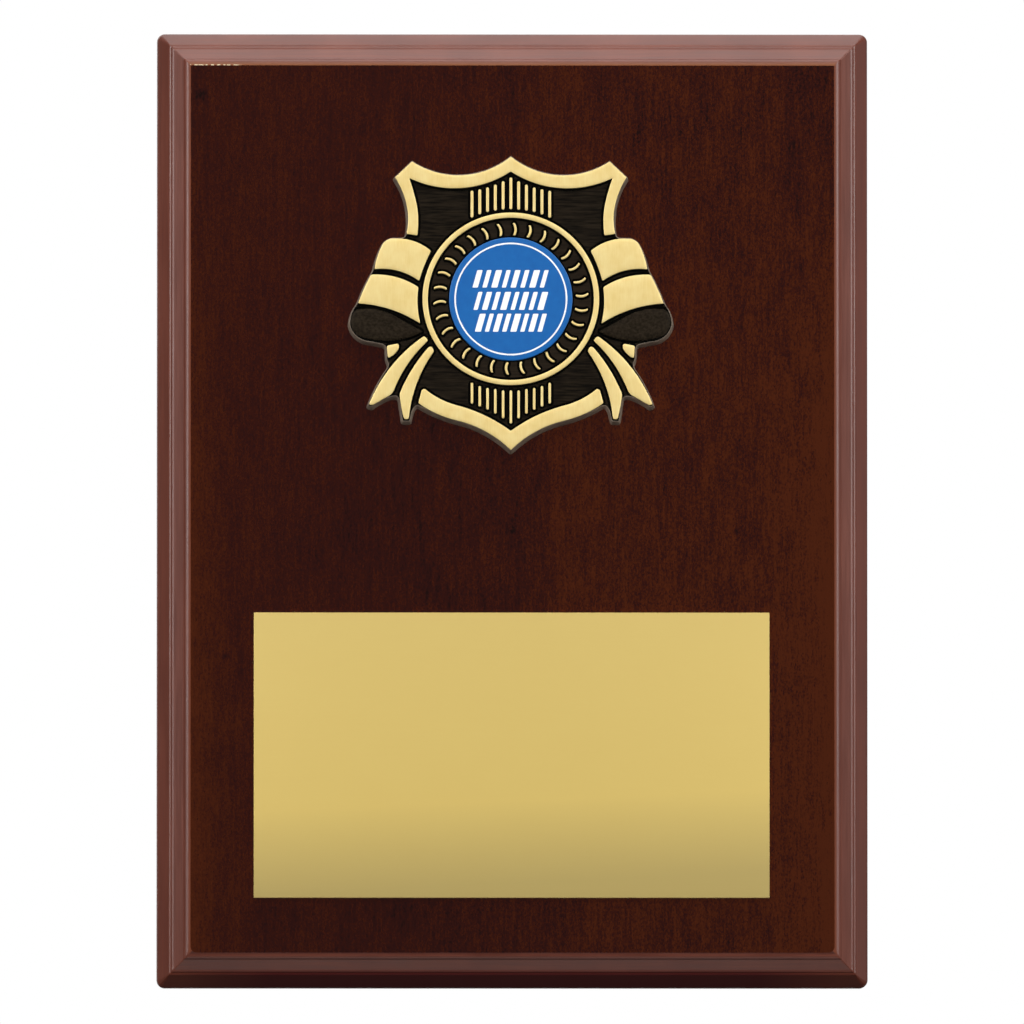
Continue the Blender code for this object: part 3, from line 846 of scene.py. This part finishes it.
class Surface:
    """Depths of points inside the casting's silhouette, its gold shapes and its dark leaves."""

    def __init__(self, points, silhouette, gold, leaves):
        self.silhouette = depth_in_loop(points, silhouette)
        self.gold = np.full(len(points), -FIELD_REACH)
        self.crown = np.zeros(len(points))
        for loops, crown in gold:
            depth = depth_in_shape(points, loops)
            self.gold = np.maximum(self.gold, depth)
            self.crown = np.maximum(self.crown, swell(depth, crown))
        self.leaf = np.full(len(points), -FIELD_REACH)
        for loop in leaves:
            self.leaf = np.maximum(self.leaf, depth_in_loop(points, loop))
        self.radius = np.hypot(*points.T)

    def heights(self):
        """The height of the casting's front at each point."""
        raised = np.maximum(self.gold, self.leaf)
        fade = np.clip((self.silhouette - GROOVE_FADE[0]) / (GROOVE_FADE[1] - GROOVE_FADE[0]), 0, 1)
        rise_out = np.clip((-raised - GROOVE_FLAT) / (GROOVE_WIDTH - GROOVE_FLAT), 0, 1)
        floor = GROUND - (GROUND - GROOVE_FLOOR) * (1 - rise_out) * fade
        leaf_top = GROUND + swell(self.leaf, LEAF_SHOULDER) + swell(self.leaf, LEAF_SWELL)
        height = np.where(self.leaf >= 0, leaf_top, floor)
        gold_top = RELIEF_TOP - rounded_step(self.gold, TOP_ROUND) + self.crown
        wall = np.clip(1 + self.gold / WALL_RUN, 0, 1)
        height = height + (gold_top - height) * np.where(self.gold >= 0, 1, wall)
        rim = GROUND - RIM_ROUND + self.silhouette
        height = np.where(self.silhouette < RIM_ROUND, np.minimum(height, rim), height)
        seat = np.clip((SEAT_RADIUS - self.radius) / SEAT_RUN, 0, 1)
        return height + (SEAT_FLOOR - height) * seat


def offset_loops(gold, leaves):
    """Loops along and beside each shape, as (points, how far outside the shape)."""
    loops = []
    for shape, _ in gold:
        for loop, side in zip(shape, (1, -1)):
            normals = normals_of(loop) * side
            for offset in (0, -0.4 * TOP_ROUND, -TOP_ROUND, WALL_RUN, GROOVE_FLAT, GROOVE_WIDTH):
                loops.append((loop + normals * offset, offset))
    for loop in leaves:
        for offset in (*LEAF_STEPS, GROOVE_FLAT, GROOVE_WIDTH):
            loops.append((loop + normals_of(loop) * offset, offset))
    return loops


def true_offsets(loops, silhouette, gold, leaves):
    """Which points of the loops are as far from every shape as they should be, and clear of rim and seat.

    Only the gold shapes' own loops may lie within the rim.
    """
    points = np.concatenate([points for points, _ in loops])
    offsets = np.concatenate([np.full(len(points), offset) for points, offset in loops])
    surface = Surface(points, silhouette, gold, leaves)
    raised = np.maximum(surface.gold, surface.leaf)
    true = np.where(offsets > 0, raised <= OFFSET_SLACK - offsets, raised >= -offsets - OFFSET_SLACK)
    margin = np.where(surface.gold > -RIM_BREAK, RIM_ROUND, RIM_WIDTH)
    inside = surface.silhouette > margin + RIM_CLEARANCE
    clear = np.abs(surface.radius - SEAT_RADIUS + SEAT_RUN / 2) > RIM_CLEARANCE + SEAT_RUN / 2
    return true & inside & clear & (surface.radius > SEAT_RADIUS - SEAT_RUN)


class Mesh2D:
    """Points and fixed edges for a flat triangulation."""

    def __init__(self):
        self.points = []
        self.edges = []

    def add_loop(self, points, keep=None):
        """Adds the kept points of a closed loop, joined where neighbours are both kept."""
        numbers = {}
        for i, point in enumerate(points):
            if keep is None or keep[i]:
                numbers[i] = len(self.points)
                self.points.append(Vector(point))
        for i in numbers:
            after = (i + 1) % len(points)
            if after in numbers:
                self.edges.append((numbers[i], numbers[after]))
        return list(numbers.values())

    def fill(self, step, clearance, allowed):
        """Adds a honeycomb of points where allowed says so, clear of the points there are."""
        tree = KDTree(len(self.points))
        for i, point in enumerate(self.points):
            tree.insert((*point, 0), i)
        tree.balance()
        low = np.min(self.points, axis=0)
        high = np.max(self.points, axis=0)
        rows = int((high[1] - low[1]) / (step * math.sqrt(0.75)))
        columns = int((high[0] - low[0]) / step)
        spots = []
        for j in range(rows):
            for i in range(columns):
                spots.append((low[0] + (i + 0.5 * (j % 2)) * step, low[1] + j * step * math.sqrt(0.75)))
        spots = np.array(spots)
        for spot in spots[allowed(spots)]:
            if tree.find((*spot, 0))[2] > clearance:
                self.points.append(Vector(spot))

    def triangulate(self, outlines):
        """Points, triangles, the outlines that each triangle lies in, and where each added point went."""
        found = delaunay_2d_cdt(self.points, self.edges, outlines, 0, WELD, True)
        points, _, faces, sources, _, owners = found
        place_of = {source: i for i, merged in enumerate(sources) for source in merged}
        return np.array([tuple(point) for point in points]), faces, owners, place_of


def thin_out(loops, keep):
    """Drops kept points that all but touch an earlier one, and splits the answer by loop."""
    flags = np.split(keep, np.cumsum([len(points) for points, _ in loops])[:-1])
    cells = {}
    for flag, (points, _) in zip(flags, loops):
        for i, point in enumerate(points):
            if not flag[i]:
                continue
            home = tuple(math.floor(c / LOOP_CLEARANCE) for c in point)
            around = [(home[0] + dx, home[1] + dy) for dx in (-1, 0, 1) for dy in (-1, 0, 1)]
            rivals = [rival for cell in around for rival in cells.get(cell, ())]
            if any(math.dist(point, rival) < LOOP_CLEARANCE for rival in rivals):
                flag[i] = False
            else:
                cells.setdefault(home, []).append(tuple(point))
    return flags


def emblem_vertex(x, z, height):
    return (EMBLEM_CENTRE[0] + x * MM, -(BOARD_DEPTH + GAP + height * MM), EMBLEM_CENTRE[1] + z * MM)


def back_outline(silhouette):
    """The casting's outline at its back: drafted outwards, blended round corners, and dropped a little."""
    reach = round(DRAFT_BLEND / LOOP_STEP * 2)
    normals = normals_of(silhouette)
    blended = sum(np.roll(normals, shift, axis=0) for shift in range(-reach, reach + 1)) / (2 * reach + 1)
    return silhouette + blended * DRAFT - (0, DRAFT_DROP)


GOLD, GROOVE, SHIELD, RING_FIELD, LEAF_DARK, SIDE = range(6)


def face_kinds(surface, triangles):
    """The finish of each triangle of the casting's front."""
    fields = (surface.gold, surface.leaf, surface.silhouette, surface.radius)
    gold, leaf, silhouette, radius = (field[triangles].mean(axis=1) for field in fields)
    raised = np.maximum(gold, leaf)
    kinds = np.where(radius < RING_INNER, RING_FIELD, SHIELD)
    kinds = np.where(raised > GROOVE_PAINT - GROOVE_WIDTH, GROOVE, kinds)
    kinds = np.where(silhouette < RIM_PAINT, SIDE, kinds)
    kinds = np.where(leaf > 0, LEAF_DARK, kinds)
    kinds = np.where(gold > 0, GOLD, kinds)
    return np.where(radius < SEAT_RADIUS, GROOVE, kinds)


def make_emblem():
    """The casting in one closed mesh: a relief front, drafted walls and a flat back."""
    silhouette = trace(whole(CASTING), BORDER_ROUND, HOLLOW_ROUND)
    gold = gold_shapes()
    leaves = both_sides(LEAF, TAIL_ROUND)
    loops = offset_loops(gold, leaves)
    keep = thin_out(loops, true_offsets(loops, silhouette, gold, leaves))
    sheet = Mesh2D()
    rim = sheet.add_loop(silhouette)
    inner_rim = silhouette - normals_of(silhouette) * RIM_ROUND
    sheet.add_loop(inner_rim, depth_in_loop(inner_rim, silhouette) > RIM_ROUND - OFFSET_SLACK)
    rim_end = silhouette - normals_of(silhouette) * RIM_WIDTH
    near_rim = Surface(rim_end, silhouette, gold, leaves)
    sheet.add_loop(rim_end, (near_rim.silhouette > RIM_WIDTH - OFFSET_SLACK) & (near_rim.gold < -RIM_BREAK))
    for radius in (SEAT_RADIUS, SEAT_RADIUS - SEAT_RUN):
        sheet.add_loop(circle(radius, DISC_SIDES))
    for (points, _), flags in zip(loops, keep):
        sheet.add_loop(points, flags)

    def allowed(spots):
        inside = depth_in_loop(spots, silhouette) > FIELD_CLEARANCE + RIM_ROUND
        return inside & (np.hypot(*spots.T) > SEAT_RADIUS)

    sheet.fill(FIELD_STEP, FIELD_CLEARANCE, allowed)
    flat, faces, owners, place_of = sheet.triangulate([rim])
    triangles = np.array([face for face, owner in zip(faces, owners) if owner])
    surface = Surface(flat, silhouette, gold, leaves)
    heights = surface.heights()
    bm = bmesh.new()
    vertices = [bm.verts.new(emblem_vertex(x, z, h)) for (x, z), h in zip(flat, heights)]
    for triangle, kind in zip(triangles, face_kinds(surface, triangles)):
        bm.faces.new([vertices[i] for i in triangle]).material_index = int(kind)
    foot = (SEAM - GAP) / MM
    back = [bm.verts.new(emblem_vertex(x, z, foot)) for x, z in back_outline(silhouette)]
    band(bm, [vertices[place_of[i]] for i in rim], back, SIDE)
    bm.faces.new(back).material_index = SIDE
    bmesh.ops.delete(bm, geom=[v for v in bm.verts if not v.link_faces], context="VERTS")
    bmesh.ops.triangulate(bm, faces=[face for face in bm.faces if len(face.verts) > 4])
    finishes = (
        polished_gold(),
        blackened_groove(),
        dark_ground("shield_ground", (4, 4, 0.33), (8, 5, 2), (34, 27, 18)),
        dark_ground("ring_ground", (7, 7, 0.4), (27, 21, 14), (38, 30, 21)),
        dark_ground("leaf_black", (0.55, 0.55, 0.45), (25, 19, 11), (43, 35, 25)),
        casting_side(),
    )
    stand_in(new_piece("emblem_casting_relief", bm, finishes), "emblem_casting")


def stroke(left, right, top, bottom):
    """A slanted stroke with rounded corners."""
    lean = STROKE_SLANT * (top - bottom) / 2
    low = [((x - lean, bottom),) for x in (left, right)]
    high = [((x + lean, top),) for x in (right, left)]
    return trace((*low, *high), STROKE_ROUND)


def strokes():
    """Three rows of plain slanted strokes, of varied widths."""
    shapes = []
    for row, ((top, bottom), (start, end)) in enumerate(zip(STROKE_ROWS, STROKE_ENDS)):
        lean = STROKE_SLANT * (top - bottom) / 2
        widths = [STROKE_WIDTHS[(i * 3 + row) % len(STROKE_WIDTHS)] for i in range(STROKES_IN_ROW)]
        gap = (end - start - 2 * lean - sum(widths)) / (STROKES_IN_ROW - 1)
        left = start + lean
        for width in widths:
            shapes.append(stroke(left, left + width, top, bottom))
            left += width + gap
    return shapes


def make_disc():
    """The printed insert: blue, with the white ring and strokes flush in its top."""
    sheet = Mesh2D()
    outline = sheet.add_loop(circle(DISC_RADIUS, DISC_SIDES))
    for i in range(1, DISC_EDGE_STEPS + 1):
        inset = DISC_EDGE * (1 - math.cos(i / DISC_EDGE_STEPS * math.pi / 2))
        sheet.add_loop(circle(DISC_RADIUS - inset, DISC_SIDES))
    for radius in PRINT_RING:
        sheet.add_loop(circle(radius, DISC_SIDES))
    inner = [sheet.add_loop(shape) for shape in strokes()]
    flat, faces, owners, place_of = sheet.triangulate([outline, *inner])
    radii = np.hypot(*flat.T)
    bm = bmesh.new()
    tops = DISC_TOP - rounded_step(DISC_RADIUS - radii, DISC_EDGE)
    vertices = [bm.verts.new(emblem_vertex(x, z, h)) for (x, z), h in zip(flat, tops)]
    for face, owner in zip(faces, owners):
        radius = radii[list(face)].mean()
        ringed = PRINT_RING[0] < radius < PRINT_RING[1]
        bm.faces.new([vertices[i] for i in face]).material_index = int(ringed or len(owner) > 1)
    bottom = [bm.verts.new(emblem_vertex(x, z, DISC_BOTTOM)) for x, z in circle(DISC_RADIUS, DISC_SIDES)]
    band(bm, [vertices[place_of[i]] for i in outline], bottom)
    bm.faces.new(bottom)
    blue = printed("print_blue", (5, 92, 165), (9, 98, 171))
    white = printed("print_white", (244, 246, 248), (252, 252, 252))
    stand_in(new_piece("centre_disc_print", bm, (blue, white)), "centre_disc")


def rounded_rectangle(width, height, upper_radius, lower_radius):
    """Points round an upright rectangle with round corners."""
    points = []
    for quarter, (sx, sz) in enumerate(((1, 1), (-1, 1), (-1, -1), (1, -1))):
        radius = upper_radius if sz > 0 else lower_radius
        for i in range(CORNER_STEPS + 1):
            angle = (quarter + i / CORNER_STEPS) * math.pi / 2
            x = sx * (width / 2 - radius) + radius * math.cos(angle)
            z = sz * (height / 2 - radius) + radius * math.sin(angle)
            points.append((x, z))
    return points


def moulding_profile():
    """The board's edge from the back to the face: (distance in from the outer edge, above the back)."""
    corners = [(inset * MM, height * MM) for inset, height, _ in EDGE_PROFILE]
    profile = [corners[0]]
    for before, corner, after, (_, _, wear) in zip(corners, corners[1:], corners[2:], EDGE_PROFILE[1:]):
        ends = []
        for end in (before, after):
            share = min(wear * MM / math.dist(corner, end), TRIM_SHARE)
            ends.append(tuple(a + (b - a) * share for a, b in zip(corner, end)))
        profile += [ends[0], *bend(ends[0], corner, ends[1], EASE_STEPS), ends[1]]
    start, foot = corners[-1]
    run, rise = FACE_INSET - start, BOARD_DEPTH - foot
    steepest = 2 * math.atan2(rise, run)
    radius = run / math.sin(steepest)
    for i in range(BEAD_STEPS + 1):
        angle = steepest * (1 - i / BEAD_STEPS)
        profile.append((FACE_INSET - radius * math.sin(angle), BOARD_DEPTH - radius * (1 - math.cos(angle))))
    return profile


def loft(loops):
    """A closed body from matching rings of points, with a flat cap on the first and the last."""
    bm = bmesh.new()
    rings = [[bm.verts.new(point) for point in loop] for loop in loops]
    for near, far in zip(rings, rings[1:]):
        band(bm, near, far)
    bm.faces.new(rings[0])
    bm.faces.new(rings[-1])
    return bm


def carve(piece, outline, near, far):
    """Cuts a pocket of the given outline into the piece, from one depth in the back to another."""
    tool = new_piece("pocket", loft([[(x, -depth, z) for x, z in outline] for depth in (near, far)]), ())
    cut = piece.modifiers.new("pocket", "BOOLEAN")
    cut.operation = "DIFFERENCE"
    cut.solver = "EXACT"
    cut.object = tool
    bpy.context.view_layer.update()
    evaluated = piece.evaluated_get(bpy.context.evaluated_depsgraph_get())
    carved = bpy.data.meshes.new_from_object(evaluated)
    piece.modifiers.clear()
    bm = bmesh.new()
    bm.from_mesh(carved)
    write_smooth(bm, carved)
    piece.data = carved
    bpy.data.objects.remove(tool)


BACK, EDGE, FACE, LOWER_SLOPE = range(4)


def make_board():
    """The board with its moulded edge, its lacquered face and the keyhole slot in its back."""
    loops = []
    bead = EDGE_PROFILE[-1][0] * MM
    for inset, height in moulding_profile():
        radius = max(BOARD_CORNER - inset, INNER_CORNER)
        along_bead = max(0, (inset - bead) / (FACE_INSET - bead))
        lower_radius = radius + (LOWER_FACE_CORNER - radius) * along_bead
        ring = rounded_rectangle(BOARD_WIDTH - 2 * inset, BOARD_HEIGHT - 2 * inset, radius, lower_radius)
        loops.append([(x, -height, z) for x, z in ring])
    bm = loft(loops)
    for face in bm.faces:
        middle = face.calc_center_median()
        rise = middle.z + BOARD_HEIGHT / 2
        if len(face.verts) > 4:
            face.material_index = FACE if middle.y < -BOARD_DEPTH / 2 else BACK
        elif rise < min(SLOPE_END, BOARD_WIDTH / 2 - abs(middle.x)):
            face.material_index = LOWER_SLOPE
        else:
            face.material_index = EDGE
    edge = satin_edge("satin_edge", 0.5)
    # The lower slope's finish is duller and carries painted shade
    lower_slope = satin_edge("shade_painted_slope", 0.1)
    finishes = (sealed_back(), edge, lacquered_face(), lower_slope)
    board = new_piece("plaque_board_wood", bm, finishes)
    head = [(x * MM, KEYHOLE_HEIGHT + z * MM) for x, z in circle(KEYHOLE_HEAD_RADIUS / MM, KEYHOLE_SIDES)]
    ends = (KEYHOLE_HEIGHT, KEYHOLE_HEIGHT + KEYHOLE_TRAVEL)
    track = upright_bar(0, *ends, KEYHOLE_HEAD_RADIUS, KEYHOLE_SIDES // 2)
    neck = upright_bar(0, *ends, KEYHOLE_NECK_RADIUS, KEYHOLE_SIDES // 2)
    carve(board, track, KEYHOLE_LIP, KEYHOLE_DEPTH)
    for opening in (head, neck):
        carve(board, opening, -KEYHOLE_OVERCUT, KEYHOLE_LIP + KEYHOLE_OVERCUT)
    stand_in(board, "plaque_board")


def make_plate():
    """The blank plate, with its front edges a little rounded."""
    bm = bmesh.new()
    bmesh.ops.create_cube(bm, size=1)
    thickness = PLATE_THICKNESS + GAP - SEAM
    y = -(BOARD_DEPTH + SEAM + thickness / 2)
    bmesh.ops.scale(bm, vec=(PLATE_WIDTH, thickness, PLATE_HEIGHT), verts=bm.verts)
    bmesh.ops.translate(bm, vec=(PLATE_CENTRE[0], y, PLATE_CENTRE[1]), verts=bm.verts)
    rounding = dict(offset=PLATE_EDGE, segments=PLATE_EDGE_STEPS, profile=0.5, affect="EDGES")
    bmesh.ops.bevel(bm, geom=bm.edges[:], **rounding)
    stand_in(new_piece("engraving_plate_metal", bm, (plate_metal(),)), "engraving_plate")


def make_floor():
    bm = bmesh.new()
    bmesh.ops.create_grid(bm, x_segments=1, y_segments=1, size=FLOOR_SIZE / 2)
    bmesh.ops.translate(bm, vec=(0, 0, FLOOR_HEIGHT), verts=bm.verts)
    new_piece("floor", bm, (pale_floor(),))


def soft_light(name, place, size, power, shadows=True):
    """A rectangular softbox of size = (width, height) metres at place, turned to the plaque's middle."""
    light = bpy.data.lights.new(name, "AREA")
    light.shape = "RECTANGLE"
    light.size, light.size_y = size
    light.energy = power
    light.use_shadow = shadows
    item = add_object(name, light)
    item.location = place
    item.rotation_euler = (-Vector(place)).to_track_quat("-Z", "Y").to_euler()


def make_world():
    """Dim light from all round, in front of a white background."""
    world = bpy.data.worlds.new("studio")
    bpy.context.scene.world = world
    world.use_nodes = True
    tree = world.node_tree
    tree.nodes.clear()
    path = tree.nodes.new("ShaderNodeLightPath")
    choose = tree.nodes.new("ShaderNodeMixShader")
    output = tree.nodes.new("ShaderNodeOutputWorld")
    tree.links.new(path.outputs["Is Camera Ray"], choose.inputs[0])
    for slot, colour, strength in ((1, (0.9, 0.95, 1.0, 1), 0.08), (2, (1, 1, 1, 1), 1.0)):
        light = tree.nodes.new("ShaderNodeBackground")
        light.inputs["Color"].default_value = colour
        light.inputs["Strength"].default_value = strength
        tree.links.new(light.outputs[0], choose.inputs[slot])
    tree.links.new(choose.outputs[0], output.inputs[0])


def make_camera():
    camera = bpy.data.cameras.new("camera")
    camera.sensor_width = SENSOR_MM
    camera.lens = SENSOR_MM * CAMERA_DISTANCE / (IMAGE_PIXELS * PIXEL)
    level = math.cos(CAMERA_BELOW)
    side = Vector((-math.sin(CAMERA_LEFT) * level, -math.cos(CAMERA_LEFT) * level, -math.sin(CAMERA_BELOW)))
    item = add_object("camera", camera)
    item.location = Vector(CAMERA_TARGET) + CAMERA_DISTANCE * side
    item.rotation_euler = (-side).to_track_quat("-Z", "Y").to_euler()
    bpy.context.scene.camera = item


make_board()
make_emblem()
make_disc()
make_plate()
make_floor()
make_world()
soft_light("front_key", (0, -0.95, 0.8), (0.8, 0.5), 3.0)
soft_light("left_strip", (-0.9, -0.71, 0.32), (0.2, 0.8), 10.0, shadows=False)
soft_light("right_strip", (0.9, -0.71, 0.32), (0.2, 0.8), 10.5, shadows=False)
soft_light("overhead", (0, -0.1, 1.1), (1.0, 0.6), 7.8)
soft_light("from_below", (0, -0.25, -1.1), (1.0, 0.3), 1.15)
soft_light("behind_top", (0, 0.75, 0.9), (1.0, 0.6), 2.4)
soft_light("behind_right", (0.9, 0.5, 0.1), (0.4, 0.8), 0.35)
soft_light("behind", (-0.2, 1.2, 0.2), (1.0, 1.0), 6.0)
make_camera()
bpy.context.scene.view_settings.view_transform = "Standard"
